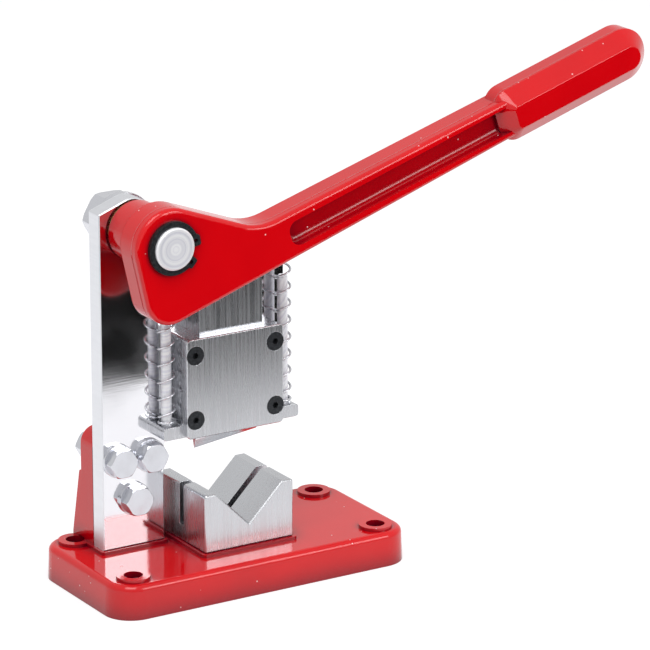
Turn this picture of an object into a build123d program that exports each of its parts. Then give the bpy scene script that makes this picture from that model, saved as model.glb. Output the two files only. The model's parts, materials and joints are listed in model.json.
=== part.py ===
"""Bench pipe cutter: a hand lever and an involute cam push a guided blade onto a V block.

Units are millimetres. +Z is up, +X runs along the lever and -Y is the operator's near side.
The origin is on the underside of the base, at the centre of its bolt pattern and under the cut.
"""
from build123d import *
import math
import os

os.makedirs("parts", exist_ok=True)

# Work and drive. The ram moves by the cam's base radius for each radian that the lever turns.
PIPE_R = 14.0
CAM_R = 44.0
CAM_SWING = 0.72
CAM_LEAD = 14.0
PIVOT_H = 172.0
RUN = 0.05

# Cast base. BASE_T is the height of its machined pads, which stand proud of the cast skin.
BASE_L = 160.0
BASE_W = 80.0
BASE_T = 18.0
BASE_CORNER = 14.0
BASE_DRAFT = 2.0
BASE_ROUND = 3.0
PAD_H = 1.5
PAD_R = 8.0
PAD_RIM = 1.5
BOLT_SPAN_X = 132.0
BOLT_SPAN_Y = 56.0
BOLT_HOLE_R = 4.5

# Stand and frame bolts.
STAND_T = 12.0
STAND_ROUND = 8.0
STAND_RISE = 12.0
RIB_T = 5.0
RIB_REACH = 8.0
RIB_TOP = 52.0
ROOT_R = 4.0
BOLT_R = 4.0
BOLT_HOLE_PLAY = 0.2
BOLT_ACROSS = 13.0
BOLT_HEAD_T = 5.3
BOLT_NUT_T = 6.5
BOLT_WASHER_R = 8.0
BOLT_WASHER_T = 1.6
BOLT_PROUD = 3.0
BOLT_DROP = 9.5
BOLT_STEP_X = 8.2
BOLT_STEP_Z = 20.0

# V block.
VEE_LIFT = 10.5
VEE_HALF = 18.0
VEE_SHOULDER = 6.0
VEE_DEPTH = 44.0
VEE_CHAMFER = 0.6
VEE_SCREW_R = 3.0
VEE_SCREW_HEAD_R = 5.0
VEE_SCREW_HEAD_T = 6.0
VEE_SCREW_SINK = 8.0
VEE_SCREW_STEP = 13.0
BLADE_SLOT = 4.0
SLOT_BELOW = 2.5

# Blade, ram and guide.
BLADE_T = 3.0
BLADE_RAKE = 4.0
BLADE_REST = 0.5
EDGE_FLAT = 0.1
EDGE_GRIND = 5.0
RAM_T = 12.0
RAM_HALF = 17.0
RAM_CLEAR = 0.3
RAM_CHAMFER = 1.0
FORK_H = 20.0
HEAD_T = 6.0
HEAD_CLEAR = 0.8
RAIL_W = 9.0
RAIL_LIFT = 8.7
LUG_T = 6.0
LUG_RIM = 0.5
KEEPER_T = 4.0
KEEPER_ROUND = 2.0
KEEPER_SCREW_R = 2.5
KEEPER_HEAD_R = 4.6
KEEPER_SCREW_TOP = 8.0
KEEPER_SCREW_LOW = 9.0
BLADE_SCREW_R = 2.0
BLADE_HEAD_R = 4.0
BLADE_SCREW_STEP = 9.0

# Return springs.
SPRING_R = 4.5
SPRING_WIRE = 0.65
SPRING_TURNS = 8
SPRING_SEAT = 0.1
ROD_R = 2.5
ROD_PLAY = 0.5
ROD_L = 69.0
ROD_GAP = 1.0

# Ground C frame.
PLATE_T = 10.0
PLATE_CHAMFER = 0.5
SPINE_LEFT = 18.6
SPINE_RIGHT = 14.0
GABLE_LEFT = 9.5
GABLE_X = -0.4
GABLE_TOP = 16.1
GABLE_RIGHT_X = 46.6
GABLE_DROP = 9.0
GABLE_R = 10.0
GABLE_RIGHT_R = 12.0
THROAT_R = 9.0

# Pivot pin, its ring and its bearing.
PIN_R = 10.0
PIN_THREAD_R = 8.0
PIN_PROUD = 3.5
PIN_CHAMFER = 0.7
PIN_WASHER_R = 15.0
PIN_WASHER_T = 3.0
PIN_ACROSS = 24.0
PIN_NUT_T = 13.0
PIN_TAIL = 4.0
RING_T = 1.75
RING_R = 12.7
RING_GAP = -15.0
RING_OPEN = 17.0
RING_LUG_AT = 25.5
RING_LUG_L = 4.6
RING_LUG_W = 5.2
RING_EYE_R = 1.0
RING_OFFSET = 0.7
GROOVE_R = 9.3
BUSH_WALL = 2.0
THRUST_T = 1.4

# Cast lever, from its pivot. The hub's flanks touch it at the normals' angles HUB_TOP and HUB_LEFT.
GAP_T = 18.0
WEB_T = 17.0
HUB_R = 18.2
HUB_TOP = 69.5
HUB_LEFT = 193.0
HUB_LIP = 2.0
HUB_PLAY = 0.25
BOSS_R = 14.5
BOSS_FILLET = 1.2
ELBOW_X = 46.8
ELBOW_Z = 1.9
ELBOW_R = 26.0
HEEL_X = -9.6
HEEL_Z = -41.0
HEEL_R = 13.0
EDGE_R = 2.2
SHANK_X = 125.0
SHANK_Z = 15.6
SHANK_RISE = 17.9
SHANK_HALF = 9.3
POCKET_START = -65.3
POCKET_HALF = 6.2
POCKET_R = 5.0
POCKET_DEPTH = 6.0
POCKET_FILLET = 3.0
POCKET_IN = 9.0
GRIP_START = 57.0
GRIP_T = 24.0
GRIP_H = 26.0
GRIP_L = 88.0
GRIP_FACET = 7.3
GRIP_SHOULDER = 9.0
GRIP_IN = 20.0
GRIP_EDGE_R = 0.8

# Involute cam, from the pivot.
CAM_T = 15.0
CAM_OVER = 0.03
CAM_TAIL = 22.5
CAM_TAIL_T = 2.0
CAM_NOSE_X = 0.6
CAM_NOSE_Z = 1.6
CAM_BACK_X = 50.0
CAM_BACK_Z = -2.6
CAM_SADDLE_X = 36.0
CAM_HEEL = 4.0
CAM_SCREW_R = 2.5
CAM_HEAD_R = 4.25
CAM_HEAD_T = 5.2
CAM_SCREW_SUNK = 0.2
CAM_SCREW_DEEP = 9.0
CAM_SCREW_X1 = 30.0
CAM_SCREW_Z1 = -6.6
CAM_SCREW_X2 = 45.5
CAM_SCREW_Z2 = -8.0
STOP_R = 3.0
STOP_X = 27.0
STOP_Z = 2.2
STOP_OUT = 9.0

# Derived places. The blade's plane is y = 0 and the ram's centre is x = 0.
STROKE = CAM_R * CAM_SWING
PIVOT_X = -CAM_R
CAST_TOP = BASE_T - PAD_H
PLATE_Y = RAM_T / 2
LUG_Y = PLATE_Y + PLATE_T
STAND_Y = LUG_Y + STAND_T
WEB_Y = PLATE_Y - GAP_T
NEAR_Y = WEB_Y - WEB_T
PIN_END_Y = NEAR_Y - PIN_PROUD
BOSS_Y = PLATE_Y - THRUST_T - RUN
KEEPER_Y = -RAM_T / 2 - 2 * RUN
SPINE_X_LOW = PIVOT_X - SPINE_LEFT
SPINE_X_HIGH = PIVOT_X + SPINE_RIGHT
SPINE_X = (SPINE_X_LOW + SPINE_X_HIGH) / 2
VEE_Z = BASE_T + VEE_LIFT
PIPE_TOP = VEE_Z + PIPE_R * math.sqrt(2) + PIPE_R
EDGE_Z = PIPE_TOP + BLADE_REST
RAM_TOP = PIVOT_H - CAM_LEAD
RAM_BOTTOM = PIPE_TOP + STROKE + RAM_CLEAR
RAIL_TOP = RAM_TOP - HEAD_T - STROKE - HEAD_CLEAR
RAIL_BOTTOM = PIPE_TOP + RAIL_LIFT
RAIL_IN = RAM_HALF + RUN
RAIL_OUT = RAIL_IN + RAIL_W
SPRING_X = RAIL_OUT + SPRING_R + ROD_GAP
HEAD_HALF = SPRING_X + SPRING_R
LUG_OUT = HEAD_HALF + LUG_RIM
STAND_BOLT_Z = RAIL_BOTTOM - BOLT_DROP
STAND_TOP = STAND_BOLT_Z + STAND_RISE
BLADE_SCREW_Z = RAM_BOTTOM + FORK_H / 2
STOP_SEAT = STOP_Z - STOP_R - RUN
FRAME_BOLTS = ((SPINE_X - BOLT_STEP_X, STAND_BOLT_Z), (SPINE_X + BOLT_STEP_X, STAND_BOLT_Z),
               (SPINE_X, STAND_BOLT_Z - BOLT_STEP_Z))
KEEPER_SCREWS = tuple((side * (RAIL_IN + RAIL_W / 2), z) for side in (-1, 1)
                      for z in (RAIL_TOP - KEEPER_SCREW_TOP, RAIL_BOTTOM + KEEPER_SCREW_LOW))
CAM_SCREWS = ((PIVOT_X + CAM_SCREW_X1, PIVOT_H + CAM_SCREW_Z1),
              (PIVOT_X + CAM_SCREW_X2, PIVOT_H + CAM_SCREW_Z2))
BLADE_SCREW_X = (-BLADE_SCREW_STEP, BLADE_SCREW_STEP)
VEE_SCREW_Y = (-VEE_SCREW_STEP, VEE_SCREW_STEP)
OVER = 1.0


def rounded_face(corners):
    """Face of a closed outline; each corner is (x, z, radius)."""
    count = len(corners)
    stops = []
    for i, (x, z, r) in enumerate(corners):
        back, ahead = corners[i - 1], corners[(i + 1) % count]
        ax, az = back[0] - x, back[1] - z
        bx, bz = ahead[0] - x, ahead[1] - z
        la, lb = math.hypot(ax, az), math.hypot(bx, bz)
        ax, az, bx, bz = ax / la, az / la, bx / lb, bz / lb
        half = math.acos(max(-1.0, min(1.0, ax * bx + az * bz))) / 2
        if r <= 0:
            stops.append(((x, z), (x, z), (x, z)))
            continue
        cut = r / math.tan(half)
        mx, mz = ax + bx, az + bz
        reach = (r / math.sin(half) - r) / math.hypot(mx, mz)
        middle = (x + mx * reach, z + mz * reach)
        stops.append(((x + ax * cut, z + az * cut), middle, (x + bx * cut, z + bz * cut)))
    edges = []
    for i, (start, middle, end) in enumerate(stops):
        if start != end:
            edges.append(ThreePointArc(start, middle, end))
        edges.append(Line(end, stops[(i + 1) % count][0]))
    return make_face(edges)


def slab(face, y_far, thickness):
    """Extrude a face drawn in X and Z towards the near side, from y_far."""
    return extrude(Plane.XZ.offset(-y_far) * face, amount=thickness)


def rod_y(x, z, radius, y_far, y_near):
    """Cylinder along Y."""
    return slab(Pos(x, z) * Circle(radius), y_far, y_far - y_near)


def rod_z(x, y, radius, z_low, z_high):
    """Cylinder along Z."""
    return extrude(Plane.XY.offset(z_low) * Pos(x, y) * Circle(radius), amount=z_high - z_low)


def ring_y(x, z, r_in, r_out, y_far, y_near):
    """Flat ring along Y."""
    return slab(Pos(x, z) * (Circle(r_out) - Circle(r_in)), y_far, y_far - y_near)


def hexagon_y(x, z, across, y_far, y_near):
    """Hexagonal prism along Y with the corners of both ends turned off."""
    turned = rod_y(x, z, across * 0.57, y_far, y_near)
    turned = chamfer(turned.edges(), across * 0.05)
    return slab(Pos(x, z) * RegularPolygon(across / math.sqrt(3), 6), y_far, y_far - y_near) & turned


def make_nut(x, z, across, bore_r, y_far, y_near):
    """Hexagon nut along Y."""
    return hexagon_y(x, z, across, y_far, y_near) - rod_y(x, z, bore_r, y_far + OVER, y_near - OVER)


def near_edges(solid):
    """Edges on the face towards the operator."""
    return solid.edges().group_by(Axis.Y)[0]


def far_edges(solid):
    """Edges on the face away from the operator."""
    return solid.edges().group_by(Axis.Y)[-1]


def at_pivot(corners):
    """Move corners measured from the lever's pivot into the part's frame."""
    return [(PIVOT_X + x, PIVOT_H + z, r) for x, z, r in corners]


def polar(radius, degrees):
    """Plane point at a radius and an angle."""
    return radius * math.cos(math.radians(degrees)), radius * math.sin(math.radians(degrees))


def cast_pad(x_low, x_high, y_low, y_high):
    """Machined rectangular pad on the cast skin of the base, a little larger than what stands on it."""
    face = RectangleRounded(x_high - x_low + 2 * PAD_RIM, y_high - y_low + 2 * PAD_RIM, PAD_RIM)
    face = Plane.XY.offset(CAST_TOP - OVER) * Pos((x_low + x_high) / 2, (y_low + y_high) / 2) * face
    return extrude(face, amount=PAD_H + OVER)


def make_stand():
    """Upright of the base with its root fillet and two gusset ribs."""
    outline = [(SPINE_X_LOW, CAST_TOP - OVER, 0), (SPINE_X_HIGH, CAST_TOP - OVER, 0),
               (SPINE_X_HIGH, STAND_TOP, STAND_ROUND), (SPINE_X_LOW, STAND_TOP, STAND_ROUND)]
    solid = fillet(far_edges(slab(rounded_face(outline), STAND_Y, STAND_T)), 1.0)
    side = Plane(origin=(SPINE_X_LOW, 0, 0), x_dir=(0, 1, 0), z_dir=(1, 0, 0))
    rib = rounded_face([(STAND_Y - 2 * OVER, CAST_TOP - OVER, 0), (STAND_Y + RIB_REACH, CAST_TOP - OVER, 0),
                        (STAND_Y + RIB_REACH, CAST_TOP + 3, 1.5), (STAND_Y + OVER, RIB_TOP, 1.5),
                        (STAND_Y - 2 * OVER, RIB_TOP, 0)])
    solid += extrude(side * rib, amount=RIB_T)
    solid += extrude(side.offset(SPINE_X_HIGH - SPINE_X_LOW - RIB_T) * rib, amount=RIB_T)
    root = Rectangle(ROOT_R + OVER, ROOT_R + OVER, align=(Align.MIN, Align.MIN))
    root = Pos(STAND_Y - OVER, CAST_TOP - OVER) * root
    root -= Pos(STAND_Y + ROOT_R, CAST_TOP + ROOT_R) * Circle(ROOT_R)
    return solid + extrude(side.offset(OVER) * root, amount=SPINE_X_HIGH - SPINE_X_LOW - 2 * OVER)


def make_base():
    """Cast base: drafted slab with machined pads, bolt holes, screw wells and the ribbed stand."""
    solid = extrude(RectangleRounded(BASE_L, BASE_W, BASE_CORNER), amount=CAST_TOP, taper=BASE_DRAFT)
    solid = fillet(solid.edges().group_by(Axis.Z)[-1], BASE_ROUND)
    vee_half = VEE_HALF + VEE_SHOULDER
    solid += cast_pad(-vee_half, vee_half, -VEE_DEPTH / 2, VEE_DEPTH / 2)
    solid += cast_pad(SPINE_X_LOW, SPINE_X_HIGH, PLATE_Y, STAND_Y - PAD_RIM)
    solid += make_stand()
    for sx in (-1, 1):
        for sy in (-1, 1):
            x, y = sx * BOLT_SPAN_X / 2, sy * BOLT_SPAN_Y / 2
            solid += rod_z(x, y, PAD_R, CAST_TOP - OVER, BASE_T)
            solid -= rod_z(x, y, BOLT_HOLE_R, -OVER, BASE_T + OVER)
    for y in VEE_SCREW_Y:
        solid -= rod_z(0, y, VEE_SCREW_R + 0.3, -OVER, BASE_T + OVER)
        solid -= rod_z(0, y, VEE_SCREW_HEAD_R + 0.6, -OVER, VEE_SCREW_SINK)
    for x, z in FRAME_BOLTS:
        solid -= rod_y(x, z, BOLT_R + BOLT_HOLE_PLAY, STAND_Y + OVER, LUG_Y - OVER)
    return solid


def make_plate():
    """Ground steel C frame with a gabled top."""
    corners = at_pivot([(-SPINE_LEFT, GABLE_LEFT, 0.8), (GABLE_X, GABLE_TOP, GABLE_R),
                        (GABLE_RIGHT_X, -GABLE_DROP, GABLE_RIGHT_R)])
    right = LUG_OUT - LUG_RIM
    corners += [(right, PIVOT_H - GABLE_DROP, GABLE_R), (right, RAIL_BOTTOM, 3.0),
                (SPINE_X_HIGH, RAIL_BOTTOM, THROAT_R), (SPINE_X_HIGH, BASE_T, 0), (SPINE_X_LOW, BASE_T, 0)]
    solid = slab(rounded_face(corners), LUG_Y, PLATE_T)
    solid = chamfer(near_edges(solid), PLATE_CHAMFER)
    solid = chamfer(far_edges(solid), PLATE_CHAMFER)
    holes = [(PIVOT_X, PIVOT_H, PIN_THREAD_R + RUN), (PIVOT_X + STOP_X, PIVOT_H + STOP_Z, STOP_R)]
    holes += [(x, z, BOLT_R + BOLT_HOLE_PLAY) for x, z in FRAME_BOLTS]
    holes += [(x, z, KEEPER_SCREW_R) for x, z in KEEPER_SCREWS]
    for x, z, radius in holes:
        solid -= rod_y(x, z, radius, LUG_Y + OVER, PLATE_Y - OVER)
    return solid


def shank_point(s, h):
    """Point s along the shank's axis and h across it, from the pivot."""
    a = math.radians(SHANK_RISE)
    return SHANK_X + s * math.cos(a) - h * math.sin(a), SHANK_Z + s * math.sin(a) + h * math.cos(a)


def shank_face(s_low, s_high, half, r_low, r_high):
    """Rounded strip along the shank's axis."""
    corners = [(s_low, half, r_low), (s_high, half, r_high), (s_high, -half, r_high), (s_low, -half, r_low)]
    return rounded_face(at_pivot([(*shank_point(s, h), r) for s, h, r in corners]))


def make_web():
    """Hub, elbow, heel and shank in one rounded slab."""
    top_n, left_n = math.radians(HUB_TOP), math.radians(HUB_LEFT)
    det = math.cos(top_n) * math.sin(left_n) - math.sin(top_n) * math.cos(left_n)
    hub_x = HUB_R * (math.sin(left_n) - math.sin(top_n)) / det
    hub_z = HUB_R * (math.cos(top_n) - math.cos(left_n)) / det
    shank_end = GRIP_START + GRIP_IN
    outline = at_pivot([(hub_x, hub_z, HUB_R), (ELBOW_X, ELBOW_Z, ELBOW_R),
                        (*shank_point(shank_end, SHANK_HALF), 0), (*shank_point(shank_end, -SHANK_HALF), 0),
                        (HEEL_X, HEEL_Z, HEEL_R)])
    solid = slab(rounded_face(outline), WEB_Y, WEB_T)
    solid = fillet(near_edges(solid), EDGE_R)
    return fillet(far_edges(solid), EDGE_R)


def make_grip():
    """Eight-sided grip with a round end."""
    end_r = GRIP_H / 2 - 0.1
    face = shank_face(GRIP_START, GRIP_START + GRIP_L, GRIP_H / 2, GRIP_SHOULDER, end_r)
    solid = slab(face, WEB_Y - WEB_T / 2 + GRIP_T / 2, GRIP_T)
    solid = chamfer(near_edges(solid), GRIP_FACET)
    solid = chamfer(far_edges(solid), GRIP_FACET)
    solid = fillet(near_edges(solid), GRIP_EDGE_R)
    return fillet(far_edges(solid), GRIP_EDGE_R)


def make_lever():
    """Cast lever: hub and boss, deep web, channelled shank and faceted grip."""
    solid = make_web()
    pocket = shank_face(POCKET_START, GRIP_START + POCKET_IN, POCKET_HALF, POCKET_R, 0)
    near_cut = slab(pocket, NEAR_Y + POCKET_DEPTH, POCKET_DEPTH + OVER)
    solid -= fillet(far_edges(near_cut), POCKET_FILLET)
    far_cut = slab(pocket, WEB_Y + OVER, POCKET_DEPTH + OVER)
    solid -= fillet(near_edges(far_cut), POCKET_FILLET)
    solid += make_grip()
    solid += rod_y(PIVOT_X, PIVOT_H, BOSS_R, BOSS_Y, WEB_Y - OVER)
    root = [edge for edge in solid.edges().filter_by(GeomType.CIRCLE)
            if abs(edge.radius - BOSS_R) < 0.01 and abs(edge.arc_center.Y - WEB_Y) < 0.01]
    solid = fillet(root, BOSS_FILLET)
    solid -= rod_y(PIVOT_X, PIVOT_H, PIN_R + HUB_PLAY, BOSS_Y + OVER, NEAR_Y - OVER)
    solid -= rod_y(PIVOT_X, PIVOT_H, PIN_R + BUSH_WALL, BOSS_Y + OVER, NEAR_Y + HUB_LIP)
    for x, z in CAM_SCREWS:
        solid -= rod_y(x, z, CAM_SCREW_R, WEB_Y + OVER, WEB_Y - CAM_SCREW_DEEP - OVER)
    return solid


def make_pin():
    """Shouldered pivot pin with a circlip groove, clamped to the frame by its nut."""
    solid = rod_y(PIVOT_X, PIVOT_H, PIN_R, PLATE_Y, PIN_END_Y)
    solid = chamfer(near_edges(solid), PIN_CHAMFER)
    thread_end = LUG_Y + PIN_WASHER_T + PIN_NUT_T + PIN_TAIL
    shank = rod_y(PIVOT_X, PIVOT_H, PIN_THREAD_R, thread_end, PLATE_Y - OVER)
    solid += chamfer(far_edges(shank), 1.0)
    return solid - ring_y(PIVOT_X, PIVOT_H, GROOVE_R, PIN_R + OVER, NEAR_Y - RUN, NEAR_Y - 2 * RUN - RING_T)


def make_circlip():
    """External circlip with two eyed lugs."""
    bore = Circle(GROOVE_R + 0.02)
    body = Circle(RING_R) - Pos(*polar(RING_OFFSET, RING_GAP)) * bore
    body -= make_face(Polyline((0, 0), polar(3 * RING_R, RING_GAP - RING_OPEN),
                               polar(3 * RING_R, RING_GAP + RING_OPEN), close=True))
    lugs = [RING_GAP - RING_LUG_AT, RING_GAP + RING_LUG_AT]
    for angle in lugs:
        body += Pos(*polar(RING_R - RING_EYE_R, angle)) * Rot(0, 0, angle) * RectangleRounded(
            RING_LUG_L, RING_LUG_W, RING_EYE_R)
    body -= bore
    for angle in lugs:
        body -= Pos(*polar(RING_R - RING_EYE_R, angle)) * Circle(RING_EYE_R)
    return slab(Pos(PIVOT_X, PIVOT_H) * body, NEAR_Y - RUN, RING_T)


def involute(t):
    """Point of the cam's flank whose normal has unrolled t radians, with the lever at rest."""
    a = t - CAM_LEAD / CAM_R
    x, z = CAM_R, -CAM_R * t
    return x * math.cos(a) - z * math.sin(a), x * math.sin(a) + z * math.cos(a)


def make_cam():
    """Hardened involute cam, screwed to the back of the web."""
    lead = CAM_LEAD / CAM_R
    steps = 8
    flank = [involute(lead + (CAM_SWING + CAM_OVER) * i / steps) for i in range(steps + 1)]
    tip_x, tip_z = flank[-1]
    tail_z = CAM_TAIL_T - CAM_LEAD
    rest = [flank[-1], (tip_x + CAM_NOSE_X, tip_z + CAM_NOSE_Z), (CAM_BACK_X, CAM_BACK_Z),
            (CAM_SADDLE_X, STOP_SEAT), (CAM_TAIL, STOP_SEAT), (CAM_TAIL, tail_z),
            (CAM_R - CAM_HEEL, tail_z), flank[0]]
    edges = [Spline(*flank)] + [Line(a, b) for a, b in zip(rest, rest[1:])]
    solid = slab(Pos(PIVOT_X, PIVOT_H) * make_face(edges), WEB_Y + CAM_T, CAM_T)
    for x, z in CAM_SCREWS:
        solid -= rod_y(x, z, CAM_SCREW_R, WEB_Y + CAM_T + OVER, WEB_Y - OVER)
        solid -= rod_y(x, z, CAM_HEAD_R + 0.15, WEB_Y + CAM_T + OVER, WEB_Y + CAM_T - CAM_HEAD_T)
    return solid


def make_cam_screw(x, z):
    """Socket cap screw, sunk in the cam and screwed into the web."""
    y_head, y_seat = WEB_Y + CAM_T - CAM_SCREW_SUNK, WEB_Y + CAM_T - CAM_HEAD_T
    head = rod_y(x, z, CAM_HEAD_R, y_head, y_seat)
    head = chamfer(far_edges(head), 0.4)
    socket_t = CAM_HEAD_T / 2
    socket = slab(Pos(x, z) * RegularPolygon(CAM_SCREW_R, 6), y_head + OVER, socket_t + OVER)
    return head + rod_y(x, z, CAM_SCREW_R, y_seat, WEB_Y - CAM_SCREW_DEEP) - socket


def flat_form(x, z, radius, head_r, y_head, y_end):
    """Turned form of a countersunk screw along Y, with its head towards the near side."""
    y_neck = y_head + head_r - radius
    cone = loft([Plane.XZ.offset(-y_neck) * Pos(x, z) * Circle(radius),
                 Plane.XZ.offset(-y_head) * Pos(x, z) * Circle(head_r)])
    return rod_y(x, z, radius, y_end, y_neck - 0.1) + cone


def make_flat_screw(x, z, radius, head_r, y_head, y_end):
    """Countersunk socket screw."""
    depth = head_r - radius
    socket = slab(Pos(x, z) * RegularPolygon(radius * 0.65, 6), y_head + depth, depth + OVER)
    return flat_form(x, z, radius, head_r, y_head, y_end) - socket


def sink(x, z, radius, head_r, y_head, y_end):
    """Hole and countersink for a flat screw."""
    mouth = rod_y(x, z, head_r + RUN, y_head, y_head - OVER)
    return flat_form(x, z, radius + 0.01, head_r + RUN, y_head, y_end) + mouth


def make_ram():
    """Ground ram: crosshead, guided block and the fork that holds the blade."""
    under = RAM_TOP - HEAD_T
    half = [(HEAD_HALF, RAM_TOP, RAM_CHAMFER), (HEAD_HALF, under, RAM_CHAMFER), (RAM_HALF, under, 0),
            (RAM_HALF, RAM_BOTTOM, RAM_CHAMFER)]
    corners = half + [(-x, z, r) for x, z, r in reversed(half)]
    solid = slab(rounded_face(corners), PLATE_Y - RUN, RAM_T - RUN)
    slot = Box(2 * RAM_HALF + 2 * OVER, BLADE_T + 2 * RUN, FORK_H + OVER,
               align=(Align.CENTER, Align.CENTER, Align.MAX))
    solid -= Pos(0, 0, RAM_BOTTOM + FORK_H) * slot
    for x in BLADE_SCREW_X:
        solid -= sink(x, BLADE_SCREW_Z, BLADE_SCREW_R, BLADE_HEAD_R, -RAM_T / 2, PLATE_Y)
    for side in (-1, 1):
        solid -= rod_z(side * SPRING_X, 0, ROD_R + ROD_PLAY, under - OVER, RAM_TOP + OVER)
    return solid


def make_blade():
    """Guillotine blade with a raked edge ground from both sides."""
    half = RAM_HALF - RUN
    top = RAM_BOTTOM + FORK_H - RUN
    face = rounded_face([(-half, EDGE_Z, 0), (half, EDGE_Z + BLADE_RAKE, 0), (half, top, 0), (-half, top, 0)])
    solid = slab(face, BLADE_T / 2, BLADE_T)
    run = math.hypot(2 * half, BLADE_RAKE)
    along = Vector(2 * half / run, 0, BLADE_RAKE / run)
    for side in (-1, 1):
        plane = Plane(origin=Vector(-half, 0, EDGE_Z) - along * 2, x_dir=(0, side, 0), z_dir=along)
        up = plane.y_dir.Z
        skin = BLADE_T / 2 + 0.2
        wedge = Polyline((EDGE_FLAT, -up), (EDGE_FLAT, 0), (skin, EDGE_GRIND * up), (skin, -up), close=True)
        solid -= extrude(plane * make_face(wedge), amount=run + 4)
    for x in BLADE_SCREW_X:
        solid -= rod_y(x, BLADE_SCREW_Z, BLADE_SCREW_R + RUN, BLADE_T, -BLADE_T)
    return solid


def make_rail(side):
    """Guide rail with the foot that carries a spring and its rod."""
    foot = RAIL_BOTTOM + LUG_T
    corners = [(RAIL_IN, RAIL_TOP, 0), (RAIL_OUT, RAIL_TOP, 2), (RAIL_OUT, foot, 2), (LUG_OUT, foot, 1.5),
               (LUG_OUT, RAIL_BOTTOM, 1.5), (RAIL_IN, RAIL_BOTTOM, 0)]
    solid = slab(rounded_face([(side * x, z, r) for x, z, r in corners]), PLATE_Y, PLATE_Y - KEEPER_Y)
    solid -= rod_z(side * SPRING_X, 0, ROD_R, RAIL_BOTTOM - OVER, foot + OVER)
    for x, z in KEEPER_SCREWS:
        if x * side > 0:
            solid -= rod_y(x, z, KEEPER_SCREW_R, PLATE_Y + OVER, KEEPER_Y - OVER)
    return solid


def make_keeper():
    """Cover plate that keeps the ram between its rails."""
    face = RectangleRounded(2 * RAIL_OUT, RAIL_TOP - RAIL_BOTTOM, KEEPER_ROUND)
    solid = slab(Pos(0, (RAIL_TOP + RAIL_BOTTOM) / 2) * face, KEEPER_Y, KEEPER_T)
    solid = chamfer(near_edges(solid), 0.4)
    for x, z in KEEPER_SCREWS:
        solid -= sink(x, z, KEEPER_SCREW_R, KEEPER_HEAD_R, KEEPER_Y - KEEPER_T, KEEPER_Y + OVER)
    return solid


def make_rod(side):
    """Spring rod, pressed into the foot of a rail."""
    solid = rod_z(side * SPRING_X, 0, ROD_R, RAIL_BOTTOM, RAIL_BOTTOM + ROD_L)
    return chamfer(solid.edges().group_by(Axis.Z)[-1], 0.8)


def make_spring(side):
    """Return spring between the foot of a rail and the crosshead."""
    low = RAIL_BOTTOM + LUG_T + SPRING_WIRE + SPRING_SEAT
    high = RAM_TOP - HEAD_T - SPRING_WIRE - SPRING_SEAT
    path = Helix(pitch=(high - low) / SPRING_TURNS, height=high - low, radius=SPRING_R - SPRING_WIRE)
    start = Plane(origin=path @ 0, z_dir=path % 0)
    coil = sweep(start * RegularPolygon(SPRING_WIRE, 6), path=path, is_frenet=True)
    return Pos(side * SPRING_X, 0, low) * coil


def make_vee():
    """V block with the slot that the blade runs into."""
    half = VEE_HALF + VEE_SHOULDER
    top = VEE_Z + VEE_HALF
    corners = [(-half, BASE_T, 1), (half, BASE_T, 1), (half, top, 1.5), (VEE_HALF, top, 0), (0, VEE_Z, 0),
               (-VEE_HALF, top, 0), (-half, top, 1.5)]
    solid = slab(rounded_face(corners), VEE_DEPTH / 2, VEE_DEPTH)
    solid = chamfer(near_edges(solid), VEE_CHAMFER)
    solid = chamfer(far_edges(solid), VEE_CHAMFER)
    floor = VEE_Z - SLOT_BELOW
    slot = Box(2 * half + 2 * OVER, BLADE_SLOT, VEE_HALF + SLOT_BELOW + OVER,
               align=(Align.CENTER, Align.CENTER, Align.MIN))
    solid -= Pos(0, 0, floor) * slot
    for y in VEE_SCREW_Y:
        solid -= rod_z(0, y, VEE_SCREW_R, BASE_T - OVER, floor + OVER)
    return solid


def make_vee_screw(y):
    """Cap screw that holds the V block from under the base."""
    low = VEE_SCREW_SINK - VEE_SCREW_HEAD_T
    solid = rod_z(0, y, VEE_SCREW_HEAD_R, low, VEE_SCREW_SINK)
    solid += rod_z(0, y, VEE_SCREW_R, VEE_SCREW_SINK, VEE_Z - SLOT_BELOW)
    socket = Plane.XY.offset(low) * Pos(0, y) * RegularPolygon(VEE_SCREW_R, 6)
    return solid - extrude(socket, amount=VEE_SCREW_HEAD_T / 2)


def make_frame_bolt(x, z):
    """Hexagon bolt through the frame plate and the stand."""
    y_head = PLATE_Y - BOLT_WASHER_T
    end = STAND_Y + BOLT_NUT_T + BOLT_PROUD
    body = chamfer(far_edges(rod_y(x, z, BOLT_R, end, y_head)), 0.7)
    return hexagon_y(x, z, BOLT_ACROSS, y_head, y_head - BOLT_HEAD_T) + body


def make_stop_pin():
    """Dowel in the frame on which the cam's tail rests."""
    solid = rod_y(PIVOT_X + STOP_X, PIVOT_H + STOP_Z, STOP_R, LUG_Y, PLATE_Y - STOP_OUT)
    return chamfer(near_edges(solid), 0.5)


def pivot_nodes():
    """Pin, ring, bearing and nut on the pivot's axis, by node name."""
    washer_y = LUG_Y + PIN_WASHER_T
    return {
        "pivot_pin": make_pin(),
        "circlip": make_circlip(),
        "bush": ring_y(PIVOT_X, PIVOT_H, PIN_R + RUN, PIN_R + BUSH_WALL, BOSS_Y, NEAR_Y + HUB_LIP),
        "thrust_washer": ring_y(PIVOT_X, PIVOT_H, PIN_R + RUN, BOSS_R - 1.0, PLATE_Y, PLATE_Y - THRUST_T),
        "pin_washer": ring_y(PIVOT_X, PIVOT_H, PIN_THREAD_R + BOLT_HOLE_PLAY, PIN_WASHER_R, washer_y, LUG_Y),
        "pin_nut": make_nut(PIVOT_X, PIVOT_H, PIN_ACROSS, PIN_THREAD_R, washer_y + PIN_NUT_T, washer_y),
    }


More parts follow.
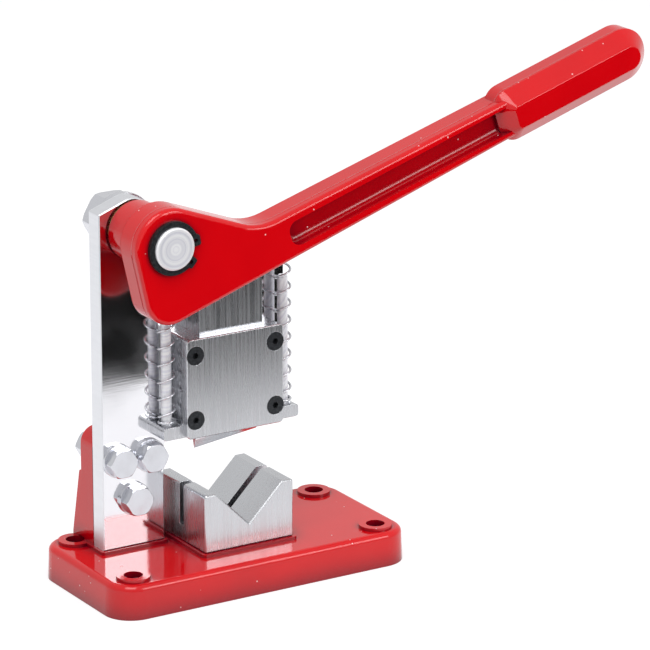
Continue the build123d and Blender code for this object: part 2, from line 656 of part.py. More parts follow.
def screw_nodes():
    """Screws, bolts, washers and nuts, by node name."""
    nodes = {}
    for i, (x, z) in enumerate(CAM_SCREWS, 1):
        nodes["cam_screw_%d" % i] = make_cam_screw(x, z)
    for i, x in enumerate(BLADE_SCREW_X, 1):
        nodes["blade_screw_%d" % i] = make_flat_screw(x, BLADE_SCREW_Z, BLADE_SCREW_R, BLADE_HEAD_R,
                                                      RUN - RAM_T / 2, PLATE_Y - 2 * RUN)
    for i, (x, z) in enumerate(KEEPER_SCREWS, 1):
        nodes["keeper_screw_%d" % i] = make_flat_screw(x, z, KEEPER_SCREW_R, KEEPER_HEAD_R,
                                                       KEEPER_Y - KEEPER_T, LUG_Y)
    for i, y in enumerate(VEE_SCREW_Y, 1):
        nodes["vee_screw_%d" % i] = make_vee_screw(y)
    for i, (x, z) in enumerate(FRAME_BOLTS, 1):
        nodes["frame_bolt_%d" % i] = make_frame_bolt(x, z)
        nodes["frame_washer_%d" % i] = ring_y(x, z, BOLT_R + BOLT_HOLE_PLAY, BOLT_WASHER_R,
                                              PLATE_Y, PLATE_Y - BOLT_WASHER_T)
        nodes["frame_nut_%d" % i] = make_nut(x, z, BOLT_ACROSS, BOLT_R, STAND_Y + BOLT_NUT_T, STAND_Y)
    return nodes


def main():
    """Build and write every node."""
    nodes = {
        "base": make_base(), "frame_plate": make_plate(), "v_block": make_vee(),
        "lever": make_lever(), "cam": make_cam(), "stop_pin": make_stop_pin(),
        "ram": make_ram(), "blade": make_blade(), "keeper": make_keeper(),
    }
    for side, name in ((-1, "left"), (1, "right")):
        nodes["guide_rail_" + name] = make_rail(side)
        nodes["spring_rod_" + name] = make_rod(side)
        nodes["spring_" + name] = make_spring(side)
    nodes.update(pivot_nodes())
    nodes.update(screw_nodes())
    for name, solid in nodes.items():
        export_step(solid, "parts/" + name + ".step")


if __name__ == "__main__":
    main()
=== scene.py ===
"""Looks for the bench pipe cutter: finishes, smooth return springs, threads and a plain studio."""

import json
import logging
import math
from dataclasses import dataclass, field
from enum import Enum

import bmesh
import bpy
from mathutils import Matrix, Vector

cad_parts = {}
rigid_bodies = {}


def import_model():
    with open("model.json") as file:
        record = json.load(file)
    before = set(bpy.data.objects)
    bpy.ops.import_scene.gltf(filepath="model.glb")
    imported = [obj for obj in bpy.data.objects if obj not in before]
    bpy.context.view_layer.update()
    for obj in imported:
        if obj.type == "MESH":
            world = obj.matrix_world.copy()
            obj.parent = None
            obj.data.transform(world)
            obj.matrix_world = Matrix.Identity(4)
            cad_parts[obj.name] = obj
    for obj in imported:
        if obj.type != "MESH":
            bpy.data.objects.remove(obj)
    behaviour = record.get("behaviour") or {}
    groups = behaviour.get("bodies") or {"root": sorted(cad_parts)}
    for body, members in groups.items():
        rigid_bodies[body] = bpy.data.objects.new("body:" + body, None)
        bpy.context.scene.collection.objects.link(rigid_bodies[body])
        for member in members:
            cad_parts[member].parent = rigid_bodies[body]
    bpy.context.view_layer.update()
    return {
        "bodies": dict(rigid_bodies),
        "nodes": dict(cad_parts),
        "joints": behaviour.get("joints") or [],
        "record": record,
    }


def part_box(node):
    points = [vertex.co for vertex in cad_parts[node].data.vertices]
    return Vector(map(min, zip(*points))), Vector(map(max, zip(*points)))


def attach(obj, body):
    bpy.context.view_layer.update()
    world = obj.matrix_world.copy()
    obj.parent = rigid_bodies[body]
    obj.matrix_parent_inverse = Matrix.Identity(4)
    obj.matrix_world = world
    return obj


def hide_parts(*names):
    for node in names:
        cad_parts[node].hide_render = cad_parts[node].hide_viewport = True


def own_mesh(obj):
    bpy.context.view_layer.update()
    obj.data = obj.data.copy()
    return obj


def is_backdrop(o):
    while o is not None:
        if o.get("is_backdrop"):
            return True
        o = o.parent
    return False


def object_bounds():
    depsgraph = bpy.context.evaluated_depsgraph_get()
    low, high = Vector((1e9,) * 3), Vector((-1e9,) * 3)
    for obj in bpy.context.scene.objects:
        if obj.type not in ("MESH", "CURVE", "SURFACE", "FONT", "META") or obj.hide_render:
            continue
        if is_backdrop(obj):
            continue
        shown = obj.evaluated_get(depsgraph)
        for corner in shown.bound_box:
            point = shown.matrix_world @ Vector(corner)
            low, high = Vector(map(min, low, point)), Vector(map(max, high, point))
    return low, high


LOG = logging.getLogger("pipe_cutter")
MM = 0.001
STEPS_PER_TURN = 36
MIDDLE = (0.3, 0.7)  # where most values of a noise texture lie
BEVEL_SAMPLES = 6
RECESS_SAMPLES = 8


class Body(Enum):
    """Bodies of the motion model that pieces ride on."""

    FRAME = "frame"


class Slot(Enum):
    """Material slots of the record that new pieces take their finish from."""

    WIRE = "spring_wire"
    TURNED = "turned_steel"
    ZINC = "zinc_plated_steel"


def seen_rays(tree: bpy.types.NodeTree) -> bpy.types.Node:
    """Node that gives one for camera, glossy and transmission rays, and zero for the rest.

    Args:
        tree: Tree of a material or a world.

    Returns:
        The node, whose first output is the value.
    """
    path = tree.nodes.new("ShaderNodeLightPath")
    first, second = tree.nodes.new("ShaderNodeMath"), tree.nodes.new("ShaderNodeMath")
    first.operation = second.operation = "MAXIMUM"
    tree.links.new(path.outputs["Is Camera Ray"], first.inputs[0])
    tree.links.new(path.outputs["Is Glossy Ray"], first.inputs[1])
    tree.links.new(first.outputs[0], second.inputs[0])
    tree.links.new(path.outputs["Is Transmission Ray"], second.inputs[1])
    return second


class NodeGraph:
    """Small helper that adds and links shader nodes."""

    def __init__(self, name: str) -> None:
        """Create the material with an empty graph and its output.

        Args:
            name: Name of the new material.
        """
        self.material = bpy.data.materials.new(name)
        self.material.use_nodes = True
        self.tree = self.material.node_tree
        self.tree.nodes.clear()
        self.output = self.add("ShaderNodeOutputMaterial")
        self.shader = self.add("ShaderNodeBsdfPrincipled")
        self.link(self.shader, "BSDF", self.output, "Surface")

    def add(self, kind: str, **values: object) -> bpy.types.Node:
        """Add a node.

        Args:
            kind: Node type name.
            **values: Attributes to set, or input sockets when the name isn't an attribute.

        Returns:
            The new node.
        """
        node = self.tree.nodes.new(kind)
        for key, value in values.items():
            if hasattr(node, key):
                setattr(node, key, value)
            else:
                node.inputs[key.replace("_", " ")].default_value = value
        return node

    def link(self, source: bpy.types.Node, out: str | int, target: bpy.types.Node, into: str | int) -> None:
        """Link an output socket to an input socket."""
        self.tree.links.new(source.outputs[out], target.inputs[into])

    def place(self, scale: tuple[float, float, float] = (1, 1, 1),
              origin: tuple[float, float, float] = (0, 0, 0)) -> bpy.types.Node:
        """Object coordinates, moved so that origin is zero and then scaled.

        Args:
            scale: Scale along X, Y and Z.
            origin: Point in metres that becomes zero.

        Returns:
            The Mapping node whose Vector output is the position.
        """
        coords = self.add("ShaderNodeTexCoord")
        mapping = self.add("ShaderNodeMapping")
        mapping.inputs["Location"].default_value = [-o * s for o, s in zip(origin, scale)]
        mapping.inputs["Scale"].default_value = scale
        self.link(coords, "Object", mapping, "Vector")
        return mapping

    def seen(self) -> bpy.types.Node:
        """One for camera, glossy and transmission rays."""
        return seen_rays(self.tree)

    def noise(self, place: bpy.types.Node, scale: float, detail: float = 3.0,
              rough: float = 0.5) -> bpy.types.Node:
        """Noise texture read at a place.

        Args:
            place: Node whose Vector output is the position.
            scale: How fine the noise is.
            detail: Its finer layers.
            rough: Weight of those layers.

        Returns:
            The noise node.
        """
        node = self.add("ShaderNodeTexNoise", Scale=scale, Detail=detail, Roughness=rough)
        self.link(place, "Vector", node, "Vector")
        return node

    def ramp(self, source: bpy.types.Node, out: str | int,
             stops: list[tuple[float, tuple]]) -> bpy.types.Node:
        """Colour ramp through the given stops.

        Args:
            source: Node that drives the ramp.
            out: Its output socket.
            stops: Pairs of position and colour.

        Returns:
            The ramp node.
        """
        node = self.add("ShaderNodeValToRGB")
        elements = node.color_ramp.elements
        while len(elements) < len(stops):
            elements.new(1.0)
        for element, (position, colour) in zip(elements, stops):
            element.position = position
            element.color = (*colour, 1.0) if len(colour) == 3 else colour
        self.link(source, out, node, "Fac")
        return node

    def range(self, source: bpy.types.Node, out: str | int, low: float, high: float,
              from_low: float = 0.0, from_high: float = 1.0) -> bpy.types.Node:
        """Map a value from one range to another.

        Args:
            source: Node that gives the value.
            out: Its output socket.
            low: Result at the start of the range.
            high: Result at its end.
            from_low: Start of the range.
            from_high: End of the range.

        Returns:
            The node whose Result output is the mapped value.
        """
        node = self.add("ShaderNodeMapRange")
        node.inputs["From Min"].default_value = from_low
        node.inputs["From Max"].default_value = from_high
        node.inputs["To Min"].default_value = low
        node.inputs["To Max"].default_value = high
        self.link(source, out, node, "Value")
        return node

    def bump(self, source: bpy.types.Node, out: str | int, distance: float, strength: float = 1.0,
             below: bpy.types.Node | None = None) -> bpy.types.Node:
        """Bump from a height, on top of another bump when given.

        Args:
            source: Node that gives the height.
            out: Its output socket.
            distance: Height that one stands for, in metres.
            strength: Share of the bump that shows.
            below: Bump or normal that it is laid on.

        Returns:
            The bump node.
        """
        node = self.add("ShaderNodeBump", Strength=strength, Distance=distance)
        self.link(source, out, node, "Height")
        if below is not None:
            self.link(below, "Normal", node, "Normal")
        return node

    def axes(self, origin: tuple[float, float, float] = (0.0, 0.0, 0.0)) -> bpy.types.Node:
        """Split the position about an origin into X, Y and Z.

        Args:
            origin: Point in metres that becomes zero.

        Returns:
            The node with the X, Y and Z outputs.
        """
        split = self.add("ShaderNodeSeparateXYZ")
        self.link(self.place(origin=origin), "Vector", split, "Vector")
        return split

    def seam(self, level: float, below: bpy.types.Node) -> bpy.types.Node:
        """Fine raised line of a casting where Y has one value.

        Args:
            level: That value of Y, in metres.
            below: Bump that the line is laid on.

        Returns:
            The bump node.
        """
        split = self.axes((0.0, level, 0.0))
        away = self.add("ShaderNodeMath", operation="ABSOLUTE")
        self.link(split, "Y", away, 0)
        crest, foot, height = 0.1 * MM, 0.6 * MM, 0.25 * MM
        line = self.range(away, "Value", 1.0, 0.0, crest, foot)
        return self.bump(line, "Result", height, 0.8, below)

    def eased(self, radius: float) -> bpy.types.Node:
        """Normals of edges that are rounded a little, so that they catch light."""
        return self.add("ShaderNodeBevel", samples=BEVEL_SAMPLES, Radius=radius)

    def set(self, **values: object) -> None:
        """Set sockets of the main shader by name."""
        for key, value in values.items():
            self.shader.inputs[key.replace("_", " ")].default_value = value


@dataclass(frozen=True)
class RedEnamel:
    """Gloss red enamel over a casting, with orange peel, specks of dust and painted shade that darkens it in
    its recesses.
    """

    seams: tuple[float, ...] = ()
    colour: tuple[float, float, float] = (0.76, 0.0006, 0.004)
    deep: tuple[float, float, float] = (0.66, 0.0004, 0.004)
    # Painted shade: the dark maroon that the enamel turns where nearby surfaces hem it in.
    recess_shade_colour: tuple[float, float, float] = (0.16, 0.0004, 0.010)
    speck: tuple[float, float, float] = (1.0, 0.70, 0.70)
    tone_scale: float = 22.0
    speck_scale: float = 190.0
    speck_size: tuple[float, float] = (0.045, 0.085)
    speck_share: float = 0.30
    recess_reach: float = 12 * MM
    recess_range: tuple[float, float] = (0.35, 0.96)
    peel: tuple[float, float, float] = (420.0, 0.12 * MM, 0.10)
    wave: tuple[float, float, float] = (90.0, 0.4 * MM, 0.12)
    nub: tuple[float, float] = (0.2 * MM, 0.6)
    gloss: tuple[float, float] = (0.06, 0.13)

    def build(self, name: str) -> bpy.types.Material:
        """Build the enamel.

        Args:
            name: Name of the material.

        Returns:
            The material.
        """
        graph = NodeGraph(name)
        place = graph.place()
        tone = graph.noise(place, self.tone_scale, 2.0)
        base = graph.ramp(tone, 0, [(0.3, self.deep), (0.7, self.colour)])
        cells = graph.add("ShaderNodeTexVoronoi", Scale=self.speck_scale)
        graph.link(place, "Vector", cells, "Vector")
        dots = graph.range(cells, "Distance", 1.0, 0.0, *self.speck_size)
        split = graph.add("ShaderNodeSeparateColor")
        graph.link(cells, "Color", split, "Color")
        chosen = graph.add("ShaderNodeMath", operation="GREATER_THAN")
        chosen.inputs[1].default_value = 1.0 - self.speck_share
        graph.link(split, "Red", chosen, 0)
        specks = graph.add("ShaderNodeMath", operation="MULTIPLY")
        graph.link(dots, "Result", specks, 0)
        graph.link(chosen, "Value", specks, 1)
        mix = graph.add("ShaderNodeMix", data_type="RGBA")
        mix.inputs["B"].default_value = (*self.speck, 1.0)
        graph.link(specks, "Value", mix, "Factor")
        # Painted shade: an ambient occlusion reading blends the colour towards dark maroon in recesses such
        # as the lever's pocket.
        recess = graph.add("ShaderNodeAmbientOcclusion", samples=RECESS_SAMPLES, Distance=self.recess_reach)
        shut = graph.range(recess, "AO", 1.0, 0.0, *self.recess_range)
        recess_shaded = graph.add("ShaderNodeMix", data_type="RGBA")
        recess_shaded.inputs["B"].default_value = (*self.recess_shade_colour, 1.0)
        graph.link(shut, "Result", recess_shaded, "Factor")
        graph.link(base, "Color", recess_shaded, "A")
        graph.link(recess_shaded, "Result", mix, "A")
        graph.link(mix, "Result", graph.shader, "Base Color")
        peel = graph.noise(place, self.peel[0], 1.0)
        wave = graph.noise(place, self.wave[0], 1.0)
        under = graph.bump(wave, 0, *self.wave[1:])
        skin = graph.bump(peel, 0, *self.peel[1:], under)
        skin = graph.bump(specks, "Value", *self.nub, skin)
        for level in self.seams:
            skin = graph.seam(level, skin)
        graph.link(skin, "Normal", graph.shader, "Normal")
        rough = graph.range(tone, 0, *self.gloss)
        graph.link(rough, "Result", graph.shader, "Roughness")
        graph.set(Specular_IOR_Level=0.5)
        return graph.material


@dataclass(frozen=True)
class Steel:
    """Bright steel with machining marks along one direction."""

    colour: tuple[float, float, float] = (0.60, 0.61, 0.635)
    rough: tuple[float, float] = (0.22, 0.32)
    marks: tuple[float, float, float] = (1100.0, 1100.0, 18.0)
    depth: float = 0.008 * MM
    ease: float = 0.35 * MM

    def build(self, name: str) -> bpy.types.Material:
        """Build the steel.

        Args:
            name: Name of the material.

        Returns:
            The material.
        """
        graph = NodeGraph(name)
        marks = graph.noise(graph.place(self.marks), 1.0, 3.0)
        cloud = graph.noise(graph.place(), 35.0, 4.0)
        shade = graph.range(cloud, 0, 0.93, 1.04)
        tint = graph.add("ShaderNodeMix", data_type="RGBA", blend_type="MULTIPLY")
        tint.inputs["Factor"].default_value = 1.0
        tint.inputs["A"].default_value = (*self.colour, 1.0)
        graph.link(shade, "Result", tint, "B")
        graph.link(tint, "Result", graph.shader, "Base Color")
        rough = graph.range(marks, 0, *self.rough, *MIDDLE)
        graph.link(rough, "Result", graph.shader, "Roughness")
        skin = graph.bump(marks, 0, self.depth, 0.5, graph.eased(self.ease))
        graph.link(skin, "Normal", graph.shader, "Normal")
        graph.set(Metallic=1.0)
        return graph.material


@dataclass(frozen=True)
class PlateSteel:
    """Plate polished on its two faces and satin on its cut edges."""

    face: tuple[float, float, float] = (0.80, 0.80, 0.83)
    edge: tuple[float, float, float] = (0.76, 0.77, 0.80)
    facing: tuple[float, float] = (0.85, 0.95)
    marks: tuple[float, float, float] = (60.0, 60.0, 1400.0)
    cloud_scale: float = 28.0
    satin: tuple[float, float] = (0.34, 0.50)
    polish: tuple[float, float] = (0.06, 0.16)
    depth: float = 0.02 * MM

    def build(self, name: str) -> bpy.types.Material:
        """Build the plate's finish.

        Args:
            name: Name of the material.

        Returns:
            The material.
        """
        graph = NodeGraph(name)
        coords = graph.add("ShaderNodeTexCoord")
        split = graph.add("ShaderNodeSeparateXYZ")
        graph.link(coords, "Normal", split, "Vector")
        side = graph.add("ShaderNodeMath", operation="ABSOLUTE")
        graph.link(split, "Y", side, 0)
        is_face = graph.range(side, "Value", 0.0, 1.0, *self.facing)
        grind = graph.noise(graph.place(self.marks), 1.0, 3.0)
        cloud = graph.noise(graph.place(), self.cloud_scale, 4.0)
        colour = graph.add("ShaderNodeMix", data_type="RGBA")
        colour.inputs["A"].default_value = (*self.edge, 1.0)
        colour.inputs["B"].default_value = (*self.face, 1.0)
        graph.link(is_face, "Result", colour, "Factor")
        graph.link(colour, "Result", graph.shader, "Base Color")
        satin = graph.range(grind, 0, *self.satin, *MIDDLE)
        polish = graph.range(cloud, 0, *self.polish, *MIDDLE)
        mix = graph.add("ShaderNodeMix", data_type="FLOAT")
        graph.link(is_face, "Result", mix, "Factor")
        graph.link(satin, "Result", mix, "A")
        graph.link(polish, "Result", mix, "B")
        graph.link(mix, "Result", graph.shader, "Roughness")
        skin = graph.bump(grind, 0, self.depth, 0.25)
        graph.link(skin, "Normal", graph.shader, "Normal")
        graph.set(Metallic=1.0)
        return graph.material


@dataclass(frozen=True)
class TurnedSteel:
    """Steel faced on a lathe about an axis along Y."""

    centre: tuple[float, float, float]
    colour: tuple[float, float, float] = (0.98, 0.98, 1.0)
    grey: tuple[float, float, float] = (0.80, 0.80, 0.87)
    rough: tuple[float, float] = (0.34, 0.52)
    ring_scale: float = 700.0
    ring_depth: float = 0.14 * MM
    groove_rate: float = 9000.0
    groove_depth: float = 0.01 * MM

    def build(self, name: str) -> bpy.types.Material:
        """Build the turned finish.

        Args:
            name: Name of the material.

        Returns:
            The material.
        """
        graph = NodeGraph(name)
        place = graph.place(origin=self.centre)
        flat = graph.add("ShaderNodeVectorMath", operation="MULTIPLY")
        flat.inputs[1].default_value = (1.0, 0.0, 1.0)
        graph.link(place, "Vector", flat, 0)
        radius = graph.add("ShaderNodeVectorMath", operation="LENGTH")
        graph.link(flat, "Vector", radius, 0)
        wave = graph.add("ShaderNodeMath", operation="MULTIPLY")
        wave.inputs[1].default_value = self.groove_rate
        graph.link(radius, "Value", wave, 0)
        line = graph.add("ShaderNodeMath", operation="SINE")
        graph.link(wave, "Value", line, 0)
        band = graph.add("ShaderNodeTexNoise", noise_dimensions="1D", Scale=self.ring_scale, Detail=3.0)
        graph.link(radius, "Value", band, "W")
        rough = graph.range(band, 0, *self.rough, *MIDDLE)
        graph.link(rough, "Result", graph.shader, "Roughness")
        tone = graph.ramp(band, 0, [(0.35, self.grey), (0.6, self.colour)])
        graph.link(tone, "Color", graph.shader, "Base Color")
        ridge = graph.bump(line, "Value", self.groove_depth, 0.5)
        rings = graph.bump(band, 0, self.ring_depth, 0.9, ridge)
        graph.link(rings, "Normal", graph.shader, "Normal")
        graph.set(Metallic=0.4)
        return graph.material


@dataclass(frozen=True)
class BlackSteel:
    """Phosphated or oxidised steel, nearly black and satin."""

    colour: tuple[float, float, float] = (0.018, 0.02, 0.024)
    worn: tuple[float, float, float] = (0.05, 0.055, 0.06)
    grain_scale: float = 900.0
    rough: tuple[float, float] = (0.28, 0.5)
    depth: float = 0.05 * MM

    def build(self, name: str) -> bpy.types.Material:
        """Build the black finish.

        Args:
            name: Name of the material.

        Returns:
            The material.
        """
        graph = NodeGraph(name)
        grain = graph.noise(graph.place(), self.grain_scale, 4.0)
        tone = graph.ramp(grain, 0, [(0.35, self.colour), (0.75, self.worn)])
        graph.link(tone, "Color", graph.shader, "Base Color")
        rough = graph.range(grain, 0, *self.rough)
        graph.link(rough, "Result", graph.shader, "Roughness")
        skin = graph.bump(grain, 0, self.depth, 0.35)
        graph.link(skin, "Normal", graph.shader, "Normal")
        graph.set(Metallic=0.6, Specular_IOR_Level=0.5)
        return graph.material


def node_place(name: str) -> tuple[Vector, Vector, Vector]:
    """Lowest corner, highest corner and centre of a CAD node.

    Args:
        name: Name of the node.

    Returns:
        The three points, in metres.
    """
    low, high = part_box(name)
    return low, high, (low + high) / 2


def finish_mesh(mesh: bmesh.types.BMesh, name: str, material: bpy.types.Material,
                smooth_angle: float = 35.0) -> bpy.types.Object:
    """Turn a bmesh into an object with smooth shading and one material.

    Args:
        mesh: The bmesh, which is freed.
        name: Name of the piece.
        material: Its finish.
        smooth_angle: Edges sharper than this many degrees stay sharp.

    Returns:
        The new object at the origin.
    """
    bmesh.ops.remove_doubles(mesh, verts=mesh.verts, dist=1e-7)
    bmesh.ops.recalc_face_normals(mesh, faces=mesh.faces)
    limit = math.radians(smooth_angle)
    for face in mesh.faces:
        face.smooth = True
    for edge in mesh.edges:
        edge.smooth = not (len(edge.link_faces) == 2 and edge.calc_face_angle(0.0) > limit)
    data = bpy.data.meshes.new(name)
    mesh.to_mesh(data)
    mesh.free()
    piece = bpy.data.objects.new(name, data)
    bpy.context.scene.collection.objects.link(piece)
    data.materials.append(material)
    return piece


@dataclass
class ReturnSpring:
    """Compression spring with closed ends between a rail's foot and the crosshead."""

    node: str
    material: bpy.types.Material
    joint: dict
    wire: float = 0.60 * MM
    turns: int = 11
    closed_turns: float = 1.25
    closed_pitch: float = 2.1
    sides: int = 10
    gap: float = 0.05 * MM

    def build(self) -> bpy.types.Object:
        """Wind the wire by turning and lifting a small ring about the spring's axis.

        Returns:
            The spring.
        """
        low, high, centre = node_place(self.node)
        coil = (high.x - low.x) / 2 - self.wire - self.gap
        rise = (high.z - low.z) - 2 * self.wire
        mesh = bmesh.new()
        ring = bmesh.ops.create_circle(mesh, segments=self.sides, radius=self.wire, cap_ends=True)["verts"]
        bmesh.ops.rotate(mesh, verts=ring, cent=(0, 0, 0), matrix=Matrix.Rotation(math.radians(90), 3, "X"))
        bmesh.ops.translate(mesh, verts=ring, vec=(centre.x + coil, centre.y, low.z + self.wire))
        ends = self.closed_turns
        body = self.turns - 2 * ends
        closed = self.closed_pitch * self.wire
        for turns, lift in ((ends, closed * ends), (body, rise - 2 * closed * ends), (ends, closed * ends)):
            face = [f for f in mesh.faces if len(f.verts) == self.sides][-1:]
            self.wind(mesh, face, centre, turns, lift)
        return finish_mesh(mesh, self.node.replace("spring", "coil_spring"), self.material, 60.0)

    def wind(self, mesh: bmesh.types.BMesh, face: list, centre: Vector, turns: float, lift: float) -> None:
        """Spin the wire's end face on by some turns while it climbs.

        Args:
            mesh: Mesh of the wire.
            face: End face to go on from.
            centre: A point of the spring's axis.
            turns: Turns to wind.
            lift: Height to climb.
        """
        steps = max(8, round(STEPS_PER_TURN * turns))
        bmesh.ops.spin(mesh, geom=face, cent=(centre.x, centre.y, 0), axis=(0, 0, 1),
                       angle=math.tau * turns, steps=steps, dvec=(0, 0, lift / steps), use_merge=False)

    def fit(self) -> bpy.types.Object:
        """Build the spring and put it in place of the CAD coil.

        Returns:
            The spring.
        """
        piece = self.build()
        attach(piece, Body.FRAME.value)
        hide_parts(self.node)
        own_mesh(piece)
        return piece


@dataclass
class ScrewThread:
    """Thread on the end of a bolt or pin that stands out of its nut at the back."""

    node: str
    nut: str
    radius: float
    pitch: float
    material: bpy.types.Material
    slot: Slot
    proud: float = 0.16 * MM
    tip: float = 0.9 * MM
    depth: float = 0.3 * MM

    def build(self) -> bpy.types.Object:
        """Spin a three-cornered ridge about the axis while it moves along it.

        Returns:
            The thread.
        """
        centre = node_place(self.nut)[2]
        start = node_place(self.nut)[1].y
        length = node_place(self.node)[1].y - self.tip - start
        turns = (length - self.pitch) / self.pitch
        crest, root = self.radius + self.proud, self.radius - self.depth
        mesh = bmesh.new()
        ridge = bmesh.ops.create_circle(mesh, segments=3, radius=1.0, cap_ends=True)["verts"]
        corners = ((crest, self.pitch / 2), (root, 0.0), (root, self.pitch))
        for vert, (out, along) in zip(ridge, corners):
            vert.co = (centre.x + out, start + along, centre.z)
        steps = max(12, round(STEPS_PER_TURN * turns))
        bmesh.ops.spin(mesh, geom=mesh.faces[:], cent=tuple(centre), axis=(0, 1, 0),
                       angle=math.tau * turns, steps=steps, dvec=(0, turns * self.pitch / steps, 0),
                       use_merge=False)
        return finish_mesh(mesh, self.node + "_thread", self.material, 50.0)

    def fit(self) -> bpy.types.Object:
        """Build the thread and fix it to the frame.

        Returns:
            The thread.
        """
        piece = self.build()
        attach(piece, Body.FRAME.value)
        return piece


@dataclass
class Finishes:
    """All finishes of the cutter, and which CAD node wears which."""

    frame: dict
    web: float = 17.0 * MM
    boss_lines: tuple[float, float] = (2 * MM, 5 * MM)
    made: dict[str, bpy.types.Material] = field(default_factory=dict)

    def build(self) -> None:
        """Build every finish."""
        pin = node_place("pivot_pin")[2]
        lever_low = node_place("lever")[0]
        parting = lever_low.y + self.web / 2
        boss = lever_low.y + self.web
        casting_lines = (parting, *(boss + step for step in self.boss_lines))
        self.made = {
            "enamel": RedEnamel().build("red_enamel_gloss"),
            "plate": PlateSteel().build("polished_plate_steel"),
            "ground": Steel().build("ground_steel"),
            "blade": Steel((0.78, 0.79, 0.82), (0.12, 0.24), (30.0, 900.0, 1100.0)).build("blade_steel"),
            "cast": RedEnamel(casting_lines).build("red_enamel_lever"),
            "turned": TurnedSteel(tuple(pin)).build("turned_steel"),
            "bright": Steel((0.66, 0.67, 0.71), (0.16, 0.26), (160.0, 160.0, 160.0)).build("bright_zinc"),
            "wire": Steel((0.66, 0.67, 0.70), (0.16, 0.30), (500.0, 500.0, 500.0)).build("spring_wire_steel"),
            "bronze": Steel((0.62, 0.40, 0.17), (0.20, 0.34), (400.0, 400.0, 400.0)).build("bearing_bronze"),
            "black": BlackSteel().build("black_spring_steel"),
        }

    def dress(self) -> None:
        """Give each CAD node the finish of its record slot."""
        wears = {"red_enamel": "enamel", "ground_plate": "plate", "black_spring_steel": "black",
                 "bronze": "bronze", "turned_steel": "turned", "blade_steel": "blade",
                 "ground_steel": "ground", "spring_wire": "wire", "black_screw_steel": "black",
                 "zinc_plated_steel": "bright"}
        for part in self.frame["record"]["subparts"]:
            piece = self.frame["nodes"][part["node"]]
            finish = self.made["cast" if part["node"] == "lever" else wears[part["material_slot"]]]
            for slot in piece.material_slots:
                slot.link = "OBJECT"
                slot.material = finish


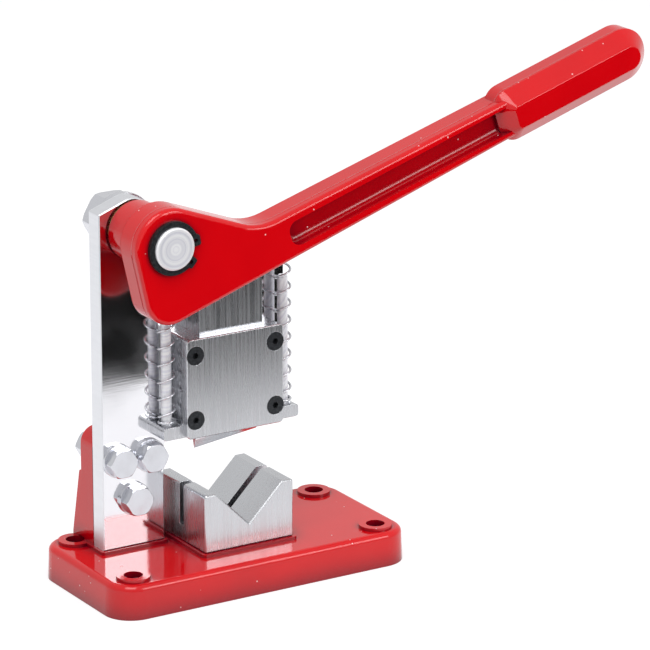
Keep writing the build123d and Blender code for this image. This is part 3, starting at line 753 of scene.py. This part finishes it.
@dataclass
class Studio:
    """Pale floor, soft lamps, a dark card and the camera."""

    azimuth: float = 31.672
    elevation: float = 17.510
    distance: float = 2.0776
    lens: float = 244.3
    aim: tuple[float, float, float] = (0.0490, -0.010, 0.1149)
    floor_half: float = 6.0
    floor_gap: float = 0.2 * MM
    floor_glow: float = 0.58
    soft_light: float = 0.72

    def floor(self) -> None:
        """Lay the floor, which looks white and keeps the tool's shadow."""
        low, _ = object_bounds()
        mesh = bmesh.new()
        bmesh.ops.create_grid(mesh, x_segments=1, y_segments=1, size=self.floor_half)
        bmesh.ops.translate(mesh, verts=mesh.verts, vec=(0, 0, low[2] - self.floor_gap))
        graph = NodeGraph("studio_floor")
        graph.set(Base_Color=(0.60, 0.60, 0.61, 1.0), Roughness=0.8, Specular_IOR_Level=0.0)
        glow = graph.range(graph.seen(), 0, 0.0, self.floor_glow)
        graph.link(glow, "Result", graph.shader, "Emission Strength")
        graph.set(Emission_Color=(1.0, 1.0, 1.0, 1.0))
        finish_mesh(mesh, "floor", graph.material)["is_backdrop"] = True

    def world(self) -> None:
        """Light the world evenly and show white behind the tool."""
        world = bpy.data.worlds.new("studio_world")
        bpy.context.scene.world = world
        world.use_nodes = True
        nodes, links = world.node_tree.nodes, world.node_tree.links
        nodes.clear()
        out = nodes.new("ShaderNodeOutputWorld")
        soft, white = nodes.new("ShaderNodeBackground"), nodes.new("ShaderNodeBackground")
        soft.inputs["Strength"].default_value = self.soft_light
        white.inputs["Strength"].default_value = 1.0
        mix = nodes.new("ShaderNodeMixShader")
        links.new(seen_rays(world.node_tree).outputs[0], mix.inputs["Fac"])
        links.new(soft.outputs[0], mix.inputs[1])
        links.new(white.outputs[0], mix.inputs[2])
        links.new(mix.outputs[0], out.inputs["Surface"])

    def lamp(self, name: str, place: tuple[float, float, float], size: float, power: float) -> None:
        """Hang one square soft lamp that faces the tool.

        Args:
            name: Name of the lamp.
            place: Its centre, in metres.
            size: Length of its side.
            power: Its power in watts.
        """
        data = bpy.data.lights.new(name, "AREA")
        data.energy = power
        data.size = size
        lamp = bpy.data.objects.new(name, data)
        lamp.location = place
        aim = Vector(self.aim) - Vector(place)
        lamp.rotation_euler = aim.to_track_quat("-Z", "Y").to_euler()
        bpy.context.scene.collection.objects.link(lamp)

    def card(self, name: str, place: tuple[float, float, float], size: tuple[float, float]) -> None:
        """Lay a dark card that only reflections see.

        Args:
            name: Name of the card.
            place: Its centre, in metres.
            size: Half its length along X and Y.
        """
        mesh = bmesh.new()
        bmesh.ops.create_grid(mesh, x_segments=1, y_segments=1, size=1.0)
        bmesh.ops.scale(mesh, verts=mesh.verts, vec=(size[0], size[1], 1))
        bmesh.ops.translate(mesh, verts=mesh.verts, vec=place)
        graph = NodeGraph(name + "_felt")
        graph.set(Base_Color=(0.004, 0.004, 0.004, 1.0), Roughness=1.0, Specular_IOR_Level=0.0)
        card = finish_mesh(mesh, name, graph.material)
        card.visible_camera = card.visible_shadow = card.visible_diffuse = False
        card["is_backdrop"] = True

    def camera(self) -> None:
        """Place the camera for the main view."""
        data = bpy.data.cameras.new("camera")
        data.lens = self.lens
        data.sensor_width = 36.0
        data.clip_end = 50.0
        camera = bpy.data.objects.new("camera", data)
        a, e = math.radians(self.azimuth), math.radians(self.elevation)
        back = Vector((-math.sin(a) * math.cos(e), -math.cos(a) * math.cos(e), math.sin(e)))
        camera.location = Vector(self.aim) + self.distance * back
        camera.rotation_euler = (-back).to_track_quat("-Z", "Y").to_euler()
        bpy.context.scene.collection.objects.link(camera)
        bpy.context.scene.camera = camera

    def build(self) -> None:
        """Set the whole studio."""
        bpy.context.scene.view_settings.view_transform = "Standard"
        self.floor()
        self.world()
        self.lamp("key_lamp", (-0.5, -0.7, 1.6), 1.0, 13.0)
        self.lamp("fill_lamp", (0.9, -1.7, 0.9), 0.8, 9.0)
        self.card("front_card", (0.7, -1.65, 0.002), (1.5, 1.4))
        self.camera()


def main() -> None:
    """Build the finishes, the springs, the threads and the studio."""
    logging.basicConfig(level=logging.INFO, format="%(name)s: %(message)s")
    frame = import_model()
    finishes = Finishes(frame)
    finishes.build()
    finishes.dress()
    LOG.info("dressed %d nodes", len(frame["nodes"]))
    slide = next(joint for joint in frame["joints"] if joint["name"] == "ram_slide")
    for side in ("left", "right"):
        piece = ReturnSpring("spring_" + side, finishes.made["wire"], slide).fit()
        LOG.info("built %s", piece.name)
    turned, bright = finishes.made["turned"], finishes.made["bright"]
    threads = [ScrewThread("pivot_pin", "pin_nut", 8.0 * MM, 2.0 * MM, turned, Slot.TURNED)]
    for number in (1, 2, 3):
        bolt, nut = f"frame_bolt_{number}", f"frame_nut_{number}"
        threads.append(ScrewThread(bolt, nut, 4.0 * MM, 1.25 * MM, bright, Slot.ZINC))
    for thread in threads:
        LOG.info("built %s", thread.fit().name)
    Studio().build()
    LOG.info("set the studio")


if __name__ == "__main__":
    main()
